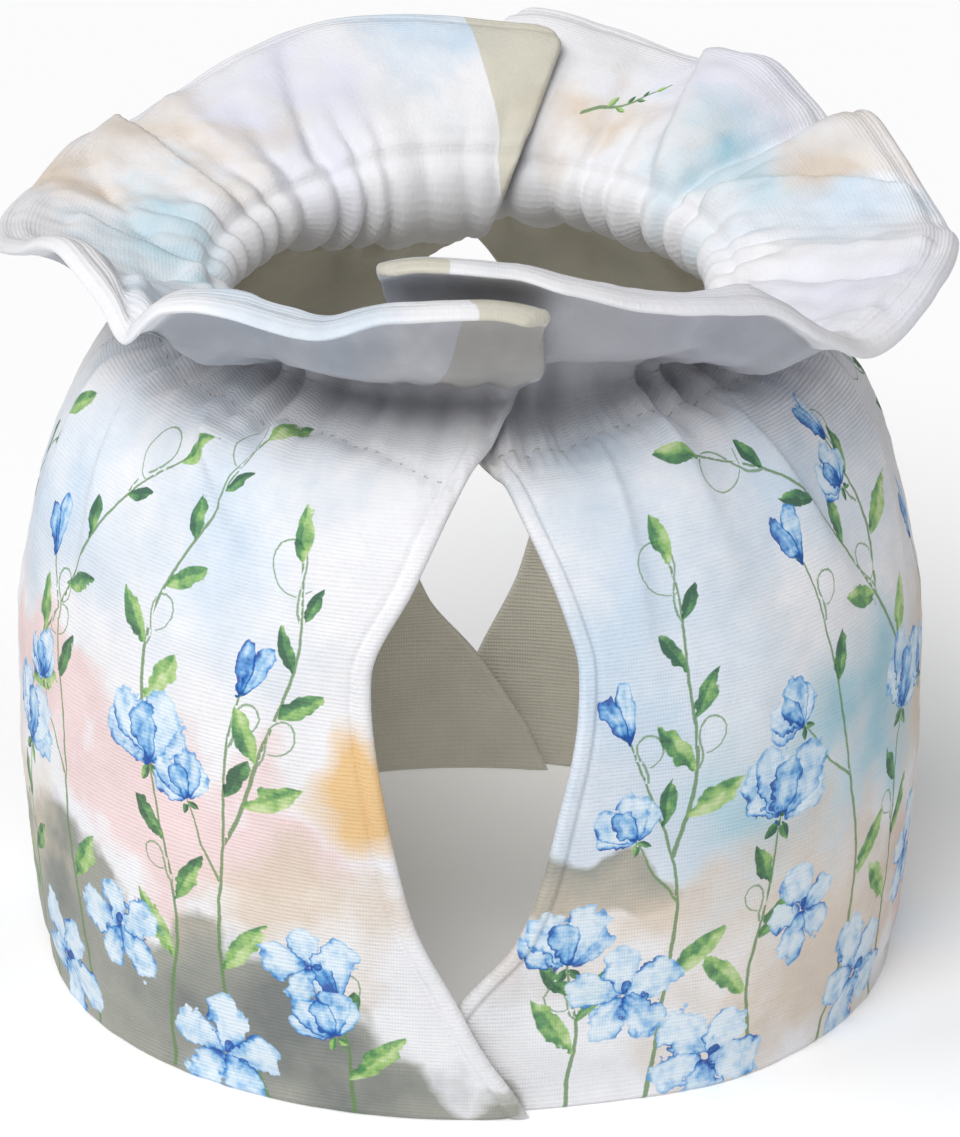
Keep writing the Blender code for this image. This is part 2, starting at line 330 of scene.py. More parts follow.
# Washes of the print: azimuth of each middle and its distance up the cloth, half width and
# half height, how full it is, the tint's number in the table of tints, and the half that
# has it: -1 the left, 1 the right, 0 both
WASHES = columns(
    "azimuth run wide tall full tint half",
    (-70, 10, 56, 38, 1.5, 5, 0), (-36, 6, 50, 31, 1.5, 5, 0), (-12, -2, 24, 27, 1.4, 5, 0),
    (-30, 16, 34, 18, 0.9, 6, 0), (-14, 4, 22, 18, 0.7, 6, 0), (-66, 30, 16, 12, 0.6, 6, 0),
    (-84, 46, 30, 14, 0.9, 7, 0), (-40, 60, 40, 18, 0.9, 3, 0), (-66, 76, 28, 14, 0.7, 3, 0),
    (-22, 46, 24, 14, 0.9, 7, 0), (-12.5, 76, 11, 16, 1.0, 4, 0), (-70, 116, 36, 26, 0.8, 1, 0),
    (-36, 122, 24, 26, 0.7, 1, 0), (22, 96, 34, 56, 0.9, 1, 0), (61, 74, 34, 20, 0.9, 2, 0),
    (40, 60, 22, 16, 0.6, 2, 0), (50, 124, 40, 20, 0.8, 1, 0), (22, 40, 26, 16, 0.9, 7, 0),
    (16, 50, 15, 11, 1.1, 5, 0), (52, 24, 46, 34, 1.0, 7, 0), (84, 66, 22, 34, 0.8, 7, 0),
    (82, 22, 26, 20, 0.6, 3, 0), (106, 30, 40, 26, 0.9, 7, 0), (128, 84, 34, 26, 0.8, 2, 0),
    (150, 30, 44, 26, 0.9, 5, 0), (158, 92, 26, 30, 0.8, 1, 0), (176, 50, 30, 20, 0.7, 3, 0),
    (-108, 40, 44, 28, 0.9, 7, 0), (-128, 92, 36, 26, 0.8, 1, 0), (-148, 28, 40, 26, 0.8, 3, 0),
    (-168, 74, 26, 26, 0.7, 2, 0), (-176, 16, 30, 18, 0.9, 5, 0), (-25, 206, 30, 18, 0.7, 1, 0),
    (-50, 190, 26, 20, 0.7, 1, 0), (-90, 182, 34, 14, 0.5, 2, 0), (-108, 205, 16, 16, 0.8, 7, 0),
    (-128, 195, 18, 18, 0.5, 7, 0), (-140, 190, 14, 24, 0.7, 0, 0),
    (-152, 196, 12, 26, 1.0, 0, 0), (-172, 204, 14, 18, 0.8, 1, 0),
    (-189.5, 196, 11, 50, 1.5, 8, -1), (5, 196, 12, 26, 1.5, 8, -1),
    (-13, 214, 16, 4, 1.5, 8, 1), (38, 200, 34, 18, 0.6, 0, 0), (68, 194, 26, 20, 0.6, 0, 0),
    (104, 196, 24, 20, 0.9, 1, 0), (112, 204, 12, 16, 0.8, 7, 0), (126, 184, 26, 14, 0.5, 2, 0),
    (139, 200, 22, 20, 0.6, 0, 0), (160, 184, 18, 12, 0.7, 7, 0),
)

# Tints of the washes: the depths where each begins and where it is full, its strength, and
# how far its rim wanders. The last, slate, is no wash of the print but painted shade
TINTS = (
    ("#d9daea", -0.3, 0.7, 0.75, 1.3),  # lavender
    ("#c9dbec", -0.3, 0.8, 0.85, 1.3),  # pale blue
    ("#93c3d3", -0.2, 0.75, 0.9, 1.3),  # teal
    ("#ecd0cf", -0.05, 0.3, 0.85, 1.3),  # blush
    ("#e2b66e", -0.05, 0.6, 0.85, 1.3),  # ochre
    ("#96978c", -0.03, 0.2, 0.92, 1.1),  # olive grey
    ("#63696a", -0.1, 0.8, 0.75, 1.6),  # dark grey green
    ("#ddcdbb", -0.15, 0.6, 0.85, 1.3),  # beige
    ("#cbc6b4", -0.02, 0.02, 0.85, 0.12),  # stone
    ("#7f818b", -0.6, 1.0, 0.62, 0.9),  # painted shade: slate grey on the neck and under the ruffle
)
STONE = 8
STONE_SLANT = 0.3
INSIDE_FULL = 0.7
INSIDE_FALL = (14.0, 8.0)
# Painted shade on the neck and under the ruffle: its tint's number, the band below the seam where it
# eases in, and the band before the rim where it eases out
PAINTED_SHADE = 9
PAINTED_SHADE_RISE = (-22.0, 18.0)
PAINTED_SHADE_FALL = (6.0, 3.0)
FIELDS = 3 * math.ceil(len(TINTS) / 3)

# How far the rims of the washes are moved about: distance, pitch and seed
WASH_DRIFTS = ((7, 70, 1.0), (6, 60, 3.0))

# Sprays of the print: azimuth and distance up the cloth of each foot, lean off the upright,
# bend over the whole stem, its length, the blossom's length, and the kind: 1 a blossom and
# leaves, 2 a bud with leaves and a tendril, 3 leaves alone
SPRAYS = columns(
    "azimuth run lean bend length bloom kind",
    (-172, 2, -6, 20, 66, 17, 1), (-156, 0, 10, -24, 88, 14, 2), (-140, 4, -12, 26, 60, 18, 1),
    (-124, 0, 12, -22, 100, 13, 2), (-107, 0, -10, 30, 62, 17, 1), (-91, 2, 12, -30, 84, 14, 2),
    (-74, 0, -8, 22, 58, 18, 1), (-59, 0, 6, -26, 104, 13, 2), (-42, 6, 14, -30, 66, 17, 1),
    (-27, 0, -18, 34, 92, 13, 2), (-15, 0, 2, -14, 26, 14, 2), (13, 4, 8, -20, 30, 15, 1),
    (24, 0, 14, -34, 84, 13, 2), (39, 2, -8, 26, 58, 18, 1), (53, 0, 10, -30, 112, 13, 2),
    (68, 4, -10, 24, 64, 18, 1), (84, 0, 12, -26, 96, 14, 2), (100, 2, -8, 24, 60, 17, 1),
    (116, 0, 12, -28, 92, 13, 2), (132, 4, -10, 26, 62, 18, 1), (147, 0, 10, -24, 98, 13, 2),
    (163, 2, -8, 22, 60, 17, 1), (70, 68, -6, -62, 92, 12, 3), (63.9, 96, 20, -40, 34, 12, 2),
    (25.8, 56, 14, -24, 62, 12, 3), (-43, 73, -10, 48, 72, 12, 3),
    (-31.4, 58, 32, -36, 64, 12, 3), (-73, 60, 12, 34, 84, 12, 3), (-103, 64, 8, 44, 74, 12, 3),
    (-140, 66, -14, -50, 74, 12, 3), (-170, 70, -8, 40, 66, 12, 3),
    (103, 64, 14, -56, 80, 12, 3), (134, 68, -12, 48, 74, 12, 3), (166, 64, 10, -44, 74, 12, 3),
    (156, 186, -64, 30, 15, 12, 3),
)

# Loose open blossoms near the hem and between the sprays
BLOOMS = columns(
    "azimuth run turn size",
    (-164, 24, 20, 12), (-131, 14, -30, 13), (-99, 20, 40, 12), (-66, 12, -20, 14),
    (-50, 30, 30, 12), (-33, 9, 10, 14), (-20, 34, -40, 10), (20, 26, 25, 12), (32, 8, -15, 14),
    (46, 36, 35, 11), (60, 13, -30, 14), (77, 30, 15, 12), (92, 12, 50, 13), (124, 22, -25, 12),
    (155, 12, 20, 13), (172, 30, -10, 11),
)

# The three kinds of spray
BLOSSOM, BUD, LEAFY = 1, 2, 3

# Half width and tone of a spray's stem, of a side twig and of a tendril
STEM_LINE = (0.55, 0.3)
TWIG_LINE = (0.4, 0.4)
TENDRIL_LINE = (0.32, 0.6)

# Shares of the stem's length where leaves sit, on a leafy spray and on the others
LEAFY_PLACES = (0.16, 0.32, 0.5, 0.66, 0.82)
SPRAY_PLACES = (0.34, 0.56, 0.76)

# Petals of a blossom seen from the side, from the back: coat, turn, length and half width;
# its sepals: turn, length, half width and tone; lengths and widths are shares of its size
FAN = ((0, -0.85, 0.8, 0.30), (0, 0.82, 0.84, 0.30), (1, -0.42, 1.0, 0.36), (1, 0.4, 0.96, 0.34))
SEPALS = ((2.5, 0.3, 0.07, 0.6), (-2.5, 0.3, 0.07, 0.5), (0, 0.26, 0.1, 0.8))

# The coats of the print's strokes, the leaves last
COATS = ("petals_1", "petals_2", "petals_3", "leaves")
LEAVES = 3

# Places that no stroke and no stem covers
FAR_STROKE = -9
FAR_STEM = (99, 0, 0)

# Colours from pale to deep of the petals, the leaves, the stems and the sewing thread; the
# thread's deeper colour is painted shade in the grooves between its plies
PETAL_PAINT = ((0.0, "#deebf5"), (0.3, "#bfd9ee"), (0.55, "#86b8e3"), (0.78, "#4189cd"), (1.0, "#1d4f9f"))
LEAF_PAINT = ((0.0, "#c6d8a0"), (0.35, "#94bd6c"), (0.65, "#558f55"), (1.0, "#295c3f"))
STEM_PAINT = ((0.0, "#35603f"), (0.35, "#6a8f55"), (1.0, "#87a690"))
THREAD_AND_PLY_SHADE = ((0.0, "#b4b1ad"), (1.0, "#dedcd9"))

# Settings of nodes that the materials share
SMOOTH = {"interpolation_type": "SMOOTHSTEP"}
TINGE = {"data_type": "RGBA", "blend_type": "MULTIPLY"}


def ease(x):
    """Return 0 below 0, 1 above 1 and the smooth step 3x^2 - 2x^3 between."""
    x = np.clip(x, 0, 1)
    return x * x * (3 - 2 * x)


def within(x, band):
    """Return the smooth step of a band: 0 up to where it starts, 1 past its reach."""
    return ease((x - band[0]) / band[1])


def bell(x, wide):
    """Return a bell curve: 1 at 0, falling away on both sides as exp(-(x / wide)^2)."""
    return np.exp(-((x / wide) ** 2))


def waves(azimuth, table):
    """Return the sum of a table's sine waves round the axis."""
    return sum(size * np.sin(np.radians(turns * azimuth + at)) for turns, size, at in table)


def unit(vectors):
    """Return vectors of length 1 in the same directions."""
    return vectors / np.linalg.norm(vectors, axis=-1, keepdims=True)


def curve(x, table, name):
    """Return the smooth curve from a table's first column to the named one.

    It never swings past the rows: each stretch is the cubic that meets its two rows with
    the harmonic mean of the slopes on both sides, or level where those differ in sign.
    """
    places, values = next(iter(table.values())), table[name]
    step = np.diff(places)
    rise = np.diff(values) / step
    product = rise[:-1] * rise[1:]
    total = rise[:-1] + rise[1:]
    inner = np.where(product > 0, 2 * product / np.where(product > 0, total, 1), 0)
    slope = np.concatenate((rise[:1], inner, rise[-1:]))
    i = np.clip(np.searchsorted(places, x, side="right") - 1, 0, len(step) - 1)
    t = np.clip((x - places[i]) / step[i], 0, 1)
    start = values[i] * (1 + 2 * t) * (1 - t) ** 2 + slope[i] * step[i] * t * (1 - t) ** 2
    end = values[i + 1] * t * t * (3 - 2 * t) - slope[i + 1] * step[i] * t * t * (1 - t)
    return start + end


def cloth_run(level):
    """Return the distance up the cloth from the hem: the outline's length, then the level."""
    steps = np.linspace(0, SEAM_HEIGHT, OUTLINE_POINTS)
    radius = curve(steps, OUTLINE, "radius")
    run = np.concatenate(([0.0], np.cumsum(np.hypot(np.diff(steps), np.diff(radius)))))
    return np.interp(level, steps, run) + np.maximum(level - SEAM_HEIGHT, 0)


def end_past(level, end, rim_past):
    """Return how far a half's end runs past the middle line, up to its rounded corner."""
    width = np.clip((level - SEAM_HEIGHT) / RUFFLE_WIDTH, 0, 1)
    past = curve(level, end, "past")
    turned = np.clip((level - RUFFLE_TOP + CORNER) / CORNER, 0, 1)
    return past + (rim_past - past) * ease(width) - CORNER_TURN * turned**2


def azimuths(level, share, turn, rim):
    """Return world azimuths, with share running from 0 at the back end to 1 at the front.

    Before its turn about the axis a half lies evenly between -180, where its end goes
    under, and 0, where it goes over. Each end swings past or short of that by a smooth step.
    """
    plain = 180 * (share - 1)
    over = end_past(level, OUTER_END, rim["azimuth"][-1] - turn)
    under = end_past(level, INNER_END, turn - 180 - rim["azimuth"][0])
    swing = over * ease(1 + plain / END_SWING) - under * ease(1 - (plain + 180) / END_SWING)
    return turn + plain + swing


def soft_curve(x, table, name, reach):
    """Return a table's curve averaged over a short reach, which rounds its bends."""
    total = 0.0
    for offset, weight in SOFT_WEIGHTS:
        total = total + weight / 8 * curve(x + offset * reach, table, name)
    return total


def outline(level, azimuth):
    """Return radius and height of the belly and neck, with the neck leaning forwards."""
    level = np.minimum(level, SEAM_HEIGHT)
    lean = LEAN * ease((level - LEAN_START) / (SEAM_HEIGHT - LEAN_START))
    height = level - lean * np.cos(np.radians(azimuth))
    soft = OUTLINE_SOFT * within(level, SOFT_RISE)
    return soft_curve(level, OUTLINE, "radius", soft), height


def ruffle(level, azimuth, rim):
    """Return radius and height of the ruffle, an arc from the neck's seam to the rim.

    The arc is the cubic between the two points whose end directions are the straight
    line's, turned up by the bow where it leaves and down by the bow where it arrives.
    """
    t = (level - SEAM_HEIGHT) / RUFFLE_WIDTH
    start_radius, start_height = outline(level, azimuth)
    end_radius = curve(azimuth, rim, "radius")
    end_height = curve(azimuth, rim, "height")
    along, up = end_radius - start_radius, end_height - start_height
    length, flare = np.hypot(along, up), np.arctan2(up, along)
    bow = np.radians(curve(azimuth, RUFFLE_BOW, "bow"))
    leave = length * t * (1 - t) ** 2
    arrive = -length * t * t * (1 - t)
    share = t * t * (3 - 2 * t)
    radius = leave * np.cos(flare + bow) + arrive * np.cos(flare - bow)
    height = leave * np.sin(flare + bow) + arrive * np.sin(flare - bow)
    return start_radius + along * share + radius, start_height + up * share + height


def under_lap(azimuth, turn):
    """Return 1 where a half lies under its neighbour, easing to 0 away from that end."""
    return ease((LAP_WIDTH + LAP_BLEND - 180 - azimuth + turn) / LAP_BLEND)


def near_end(azimuth, turn):
    """Return 1 at both of a half's ends, easing to 0 away from them."""
    return under_lap(azimuth, turn) + ease((azimuth - turn + LAP_WIDTH + LAP_BLEND) / LAP_BLEND)


def smooth_face(level, azimuth, rim):
    """Return the points of the cloth's smooth outer face, and its outward normals.

    Round the neck's seam each row is drawn to the mean of its neighbours again and again,
    which turns the join of belly and ruffle into one bend.
    """
    low_radius, low_height = outline(level, azimuth)
    top_radius, top_height = ruffle(np.maximum(level, SEAM_HEIGHT), azimuth, rim)
    radius = np.where(level > SEAM_HEIGHT, top_radius, low_radius)
    height = np.where(level > SEAM_HEIGHT, top_height, low_height)
    angle = np.radians(azimuth)
    points = np.stack((radius * np.sin(angle), -radius * np.cos(angle), height), axis=-1)
    draw = bell(level[1:-1] - SEAM_HEIGHT, JOIN_REACH)[..., None]
    for _ in range(JOIN_PASSES):
        points[1:-1] += draw * ((points[2:] + points[:-2]) / 2 - points[1:-1])
    return points, unit(np.cross(np.gradient(points, axis=1), np.gradient(points, axis=0)))


def troughs(level, azimuth, table, top, fade):
    """Return how deep a table's folds press in: bell curves across lines that run down.

    Each line leaves the top at its own azimuth, drifts sideways on its way to its foot,
    and grows shallow there as a smooth step.
    """
    depth_here = np.zeros_like(azimuth)
    for start, slip, depth, width, foot in zip(*table.values()):
        down = np.clip((top - level) / (top - foot), 0, 1)
        away = (azimuth - start - slip * down + 180) % 360 - 180
        shown = ease(1 - down) * (1 - ease((level - top) / (fade - top)))
        depth_here = depth_here + depth * shown * bell(away, width)
    return depth_here


def crests(level, azimuth, radius, table, fade, widen):
    """Return the heights of a table's crisp folds.

    Each fold follows a line from its top to its foot, and falls away from it on each side
    as a bell of that side's own reach: steep on one side and slow on the other. It rises
    just below its top, widens on its way and fades over the last part of it.
    """
    total = np.zeros_like(azimuth)
    for top_az, top, foot_az, foot, depth, before, after in zip(*table.values()):
        down = (top - level) / (top - foot)
        line = top_az + (foot_az - top_az) * down
        away = np.radians((azimuth - line + 180) % 360 - 180) * radius
        soft = 1 + widen * np.clip(down, 0, 1)
        reach = np.where(away < 0, before, after) * soft
        shown = ease(down / CREST_RISE) * ease((1 - down) / fade)
        total = total + depth * shown * np.exp(-(np.abs(away / reach) ** CREST_POWER))
    return total


def gathers(level, azimuth, line, deep):
    """Return the heights that the gathers give the outer and the inner face.

    The gathers are a wave round the neck whose phase wanders with three slower waves. The
    outer face follows the size of the half wave's cosine, with round crests and sharp
    valleys, and the inner face the size of its sine, the other way round. They grow from
    their start to just past the channel's stitches, and fade on their way out to the rim.
    """
    half_phase = np.radians(cosy().gathers * azimuth + waves(azimuth, PHASE_WAVES)) / 2
    start = line - GATHER_START - waves(azimuth, START_WAVES)
    rise = ease((level - start) / (line + GATHER_FULL - start)) ** 1.5
    reach = (GATHER_REACH + waves(azimuth, REACH_WAVES)) * RUFFLE_WIDTH
    fall = (1 - ease((level - SEAM_HEIGHT) / reach)) ** 1.3
    pinch = 1 - PINCH * bell(level - SEAM_HEIGHT, PINCH_WIDE)
    above = np.where(level > SEAM_HEIGHT, RUFFLE_SHARE, 1.0)
    depth = deep * rise * fall * pinch * above * (1 + waves(azimuth, DEPTH_WAVES))
    outer = np.sqrt(np.cos(half_phase) ** 2 + GATHER_BLUNT) - GATHER_MIDDLE
    inner = GATHER_MIDDLE - np.sqrt(np.sin(half_phase) ** 2 + GATHER_BLUNT)
    return depth * outer, depth * inner


def channel(level, azimuth, line):
    """Return how far the elastic's channel bulges, and how deep its stitches press in.

    The bulge is half a sine wave between the two rows of stitches, which are bell grooves.
    The lower one puckers the cloth about it once for each stitch.
    """
    away = level - line
    turns = np.radians(azimuth) * PRINT_RADIUS / PUCKER_PITCH
    pucker = PUCKER * np.cos(math.tau * turns) * bell(away, PUCKER_REACH)
    bulge = CHANNEL_BULGE * np.sin(np.pi * np.clip(away / (SEAM_HEIGHT - line), 0, 1))
    lower = CHANNEL_GROOVE * bell(away, CHANNEL_WIDE) + pucker
    upper = SEAM_GROOVE * bell(level - SEAM_HEIGHT, CHANNEL_WIDE)
    return bulge, lower, upper


def row_levels():
    """Return the mesh rows' levels: even steps along the cloth, close at hem, neck and rim."""
    steps = np.linspace(0, SEAM_HEIGHT, OUTLINE_POINTS)
    run = cloth_run(steps)
    hem = EDGE_STEPS * cosy().thickness / METRE / 2
    rim = RUFFLE_TOP - EDGE_STEPS[::-1] * cosy().roll / METRE / 2
    neck_run = float(cloth_run(np.array(LEAN_START - NECK_BELOW)))
    belly = np.arange(hem[-1] + EDGE_GAPS[0], neck_run, BELLY_STEP)
    neck = np.arange(neck_run, run[-1], NECK_STEP)
    low = np.interp(np.concatenate((belly, neck)), run, steps)
    top = np.arange(SEAM_HEIGHT, rim[0] - EDGE_GAPS[1], RUFFLE_STEP)
    return np.concatenate((hem, low, top, rim))


def column_shares():
    """Return the mesh columns' shares of a half: even steps, and close ones at the ends."""
    length = GIRTH / 2
    edge = np.concatenate((EDGE_STEPS[:-1] * cosy().roll / METRE / 2, HEM_STEPS))
    middle = np.linspace(edge[-1], length - edge[-1], int((length - 2 * edge[-1]) / COLUMN_STEP))
    return np.concatenate((edge[:-1], middle, length - edge[-2::-1])) / length


def rounded(distance, half):
    """Return the share of a wall's thickness left at a distance from its round edge.

    It is a quarter circle: 0 on the edge, and 1 from half the wall's thickness inwards.
    """
    return np.sqrt(1 - (1 - np.clip(distance / half, 0, 1)) ** 2)


def cloth_faces(turn, rim, seam_line):
    """Return a half's outer and inner points, and its levels and azimuths.

    The two faces lie about the smooth face, moved along its normals by the folds, gathers,
    hems and seams. Their distance shrinks to nothing on the sheet's border.
    """
    settings = cosy()
    wall, roll = settings.thickness / METRE, settings.roll / METRE
    level, share = np.meshgrid(row_levels(), column_shares(), indexing="ij")
    azimuth = azimuths(level, share, turn, rim)
    points, normal = smooth_face(level, azimuth, rim)
    radius = np.linalg.norm(points[..., :2], axis=-1)
    line = curve(azimuth, seam_line, "level")
    past_seam, to_rim = level - SEAM_HEIGHT, RUFFLE_TOP - level
    calm = 1 - LAP_CALM * near_end(azimuth, turn)
    outer, inner = gathers(level, azimuth, line, calm * settings.gather_depth / METRE)

    bend = crests(level, azimuth, radius, BODY_CRESTS, *BODY_SPREAD) * settings.fold_depth
    bend = bend - troughs(level, azimuth, BODY_FOLDS, FOLD_TOP, FOLD_FADE) * settings.fold_share
    folds = crests(level, azimuth, radius, RUFFLE_CRESTS, *RUFFLE_SPREAD) * settings.ruffle_depth
    across, run = np.radians(azimuth) * PRINT_RADIUS, cloth_run(level)
    crepe = CREPE[0] * ripple(across, run, *CREPE[1:])
    on_ruffle = within(past_seam, CREPE_BAND) * within(to_rim, CREPE_BAND)
    crepe = crepe + CREPE_RUFFLE[0] * ripple(across, run, *CREPE_RUFFLE[1:]) * on_ruffle
    bend = (bend - folds * calm**2 + crepe) * calm
    lip = np.clip(1 - to_rim / LIP_START, 0, 1) ** LIP_SKEW
    bend = bend - curve(azimuth, LIP, "rise") * np.sin(np.pi * lip)

    bulge, lower, upper = channel(level, azimuth, line)
    puff = PUFF * np.sin(np.pi * np.clip(past_seam / RUFFLE_WIDTH, 0, 1))
    swell = (puff + bulge) * calm
    groove = GROOVE_DEPTH * bell(to_rim - GROOVE_IN, GROOVE_WIDE)
    edge = np.minimum(share, 1 - share) * math.pi * radius
    hem = HEM_RISE * ease(HEM_WIDTH - edge) - HEM_GROOVE * bell(edge - HEM_LINE, HEM_LINE_WIDE)
    hem = hem * within(-past_seam, HEM_FALL)
    room = LAP_ROOM * within(level - LEAN_START, ROOM_RISE) * within(-past_seam, ROOM_FALL)
    bend = bend - (LAP_STEP + room) * under_lap(azimuth, turn)
    outer = outer + bend + swell - lower - upper * SEAM_FRONT - groove * GROOVE_FRONT + hem
    inner = inner + bend - swell + lower * CHANNEL_BACK + upper + groove - wall
    inner = inner - (roll - wall) * ease((ROLL_START - to_rim) / ROLL_BLEND)

    half = (outer - inner) / 2
    end = rounded(edge, half) * rounded(level, half) * rounded(to_rim, half)
    middle = points + normal * ((outer + inner) / 2)[..., None]
    thick = normal * (half * end)[..., None]
    return middle + thick, middle - thick, level, azimuth


def sheet_faces(rows, count):
    """Return the quads of a closed sheet whose two faces share the points of their border.

    The outer face's points are numbered row by row, then the inner face's inside its border.
    """
    outer = np.arange(rows * count).reshape(rows, count)
    inner = outer.copy()
    inner[1:-1, 1:-1] = rows * count + np.arange((rows - 2) * (count - 2)).reshape(rows - 2, -1)
    out = np.stack((outer[:-1, :-1], outer[:-1, 1:], outer[1:, 1:], outer[1:, :-1]), axis=-1)
    back = np.stack((inner[:-1, :-1], inner[1:, :-1], inner[1:, 1:], inner[:-1, 1:]), axis=-1)
    return np.concatenate((out.reshape(-1, 4), back.reshape(-1, 4)))


def ripple(x, y, pitch, seed):
    """Return an even, patternless wave between about -1 and 1.

    It is the mean of six sine waves that run in directions a golden angle apart, each a
    little shorter than the one before it.
    """
    total = np.zeros_like(x)
    for i in range(6):
        angle = 2.4 * i + seed
        wave = 2 * np.pi / pitch * 1.27**i
        total = total + np.sin(wave * (x * math.cos(angle) + y * math.sin(angle)) + 1.7 * i * seed)
    return total / 3


def linear(code):
    """Return the linear colour of an sRGB hex code."""
    parts = np.array([int(code[i : i + 2], 16) for i in (1, 3, 5)]) / 255
    low = parts / 12.92
    high = ((parts + 0.055) / 1.055) ** 2.4
    return tuple(np.where(parts <= 0.04045, low, high))


def wash_fields(across, run, side):
    """Return how deep each place lies in the washes of every tint: 0 on their rims.

    A wash is an ellipse: its fullness times one less the distance from its middle, measured
    in half widths and half heights. Slow ripples first move each place about. A tint's own
    washes are joined by taking the deepest. Stone washes are blocks with straight sides.
    """
    drift_x, drift_y = [size * ripple(across, run, *wave) for size, *wave in WASH_DRIFTS]
    fields = np.full((FIELDS, len(across)), -1.0)
    for azimuth, at, wide, tall, full, tint, half in zip(*WASHES.values()):
        if half == -side:
            continue
        aside = across - math.radians(azimuth) * PRINT_RADIUS
        if tint == STONE:
            aside = (aside - STONE_SLANT * (run - at) + GIRTH / 2) % GIRTH - GIRTH / 2
            reach = np.maximum(np.abs(aside) / wide, np.abs(run - at) / tall)
        else:
            aside = (aside + drift_x + GIRTH / 2) % GIRTH - GIRTH / 2
            reach = np.hypot(aside / wide, (run + drift_y - at) / tall)
        fields[int(tint)] = np.maximum(fields[int(tint)], full * (1 - reach))
    return fields


def walk(x, y, heading, length):
    """Return the points that equal steps in the given directions lead to, and these."""
    step = length / (len(heading) - 1)
    px = x + np.concatenate(([0.0], np.cumsum(np.cos(heading[:-1]) * step)))
    py = y + np.concatenate(([0.0], np.cumsum(np.sin(heading[:-1]) * step)))
    return px, py, heading


def stem_path(x, y, lean, bend, length):
    """Return a stem in steps of 1 mm: its direction turns by the bend, with a slow waver."""
    t = np.linspace(0, 1, max(int(length), 6))
    return walk(x, y, np.radians(90 - lean - bend * t + 7 * np.sin(9 * t + x)), length)


def tendril_path(x, y, heading, side, length):
    """Return a tendril: its direction turns ever faster, so its end curls up."""
    t = np.linspace(0, 1, int(length) * 2)
    return walk(x, y, heading + side * (np.radians(300) * t**3 - 0.9 * np.sin(7 * t)), length)


class Print:
    """The print's strokes by coat, and its stems, in flat millimetres and radians."""

    def __init__(self):
        self.coats = [[] for _ in COATS]
        self.stems = []

    def stroke(self, coat, x, y, heading, length, wide, tone):
        """Add a petal or leaf: its base, direction, length, half width and tone."""
        self.coats[coat].append((x, y, heading, length, wide, tone))

    def stem(self, path, wide, tone):
        """Add a stem or tendril that narrows by half towards its end."""
        px, py, heading = path
        share = np.linspace(0, 1, len(px))
        self.stems.append(np.stack((px, py, heading, wide * (1 - 0.5 * share), tone + 0 * share)))

    def blossom(self, x, y, heading, size, tone):
        """Lay out a blossom seen from the side: five petals that fan from one point."""
        for coat, angle, reach, wide in FAN:
            shade = tone + 0.1 * math.sin(7 * angle + x)
            self.stroke(coat, x, y, heading + angle, size * reach, size * wide, shade)
        self.stroke(2, x, y, heading + 0.04, size * 0.74, size * 0.27, tone + 0.3)
        for angle, reach, wide, shade in SEPALS:
            self.stroke(LEAVES, x, y, heading + angle, size * reach, size * wide, shade)

    def bud(self, x, y, heading, size, tone):
        """Lay out a half closed bud: two narrow petals that part at their tips."""
        self.stroke(0, x, y, heading - 0.22, size, size * 0.2, tone)
        self.stroke(1, x, y, heading + 0.2, size * 0.92, size * 0.19, tone + 0.25)
        self.stroke(LEAVES, x, y, heading, size * 0.3, size * 0.11, 0.7)

    def open_flower(self, x, y, turn, size):
        """Lay out a blossom seen face on: five round petals about a small dark eye."""
        for i, coat in enumerate((0, 1, 0, 1, 2)):
            heading = math.radians(turn + 72 * i)
            reach = size * (1 + 0.12 * math.sin(3 * i + x))
            self.stroke(coat, x, y, heading, reach, reach * 0.42, 0.08 + 0.08 * math.sin(5 * i))
        self.stroke(2, x, y, math.radians(turn + 50), size * 0.28, size * 0.1, 0.95)

    def leafy(self, px, py, heading, small):
        """Lay out leaves by turns on both sides of a stem, with two tendrils between."""
        for i, part in enumerate(LEAFY_PLACES):
            at = int((len(px) - 1) * part)
            side = 1 if i % 2 else -1
            reach = (15 - 1.6 * i) * small
            tip = heading[at] + side * (0.8 - 0.07 * i)
            self.stroke(LEAVES, px[at], py[at], tip, reach, reach * 0.19, 0.2 + 0.14 * i)
            if i in (1, 4) and small == 1:
                curl = tendril_path(px[at], py[at], heading[at] - side * 0.6, -side, 22 + 4 * i)
                self.stem(curl, *TENDRIL_LINE)

    def spray(self, azimuth, run, lean, bend, length, bloom, kind):
        """Lay out a stem with side leaves, and a blossom, bud or tendril on it."""
        path = stem_path(math.radians(azimuth) * PRINT_RADIUS, run, lean, bend, length)
        self.stem(path, *STEM_LINE)
        px, py, heading = path
        tip = (px[-1], py[-1], heading[-1])
        if kind == LEAFY:
            small = min(1.0, length / 50)
            self.stroke(LEAVES, *tip, bloom * small, 2.4 * small, 0.3)
            self.leafy(px, py, heading, small)
            return
        if kind == BLOSSOM:
            self.blossom(*tip, bloom, 0.12)
        else:
            self.bud(*tip, bloom, 0.35)
        end = len(px) - 1
        for i, part in enumerate(SPRAY_PLACES):
            at = int(end * part)
            side = 1 if (i + int(kind)) % 2 else -1
            aside = heading[at] + side * (0.75 - 0.12 * i)
            if i == 1 and kind == BUD:
                twig = stem_path(px[at], py[at], 90 - math.degrees(aside), 14 * side, 0.2 * length)
                self.stem(twig, *TWIG_LINE)
                self.blossom(twig[0][-1], twig[1][-1], twig[2][-1], bloom * 0.85, 0.2)
            else:
                self.stroke(LEAVES, px[at], py[at], aside, 17 - 3 * i, 2.7 - 0.3 * i, 0.25 + 0.2 * i)
        if kind == BUD:
            at = int(end * 0.88)
            self.stem(tendril_path(px[at], py[at], heading[at] - 0.7, -1, 24), 0.34, 0.6)
        else:
            at = int(end * 0.62)
            self.stem(tendril_path(px[at], py[at], heading[at] + 0.8, 1, 20), *TENDRIL_LINE)


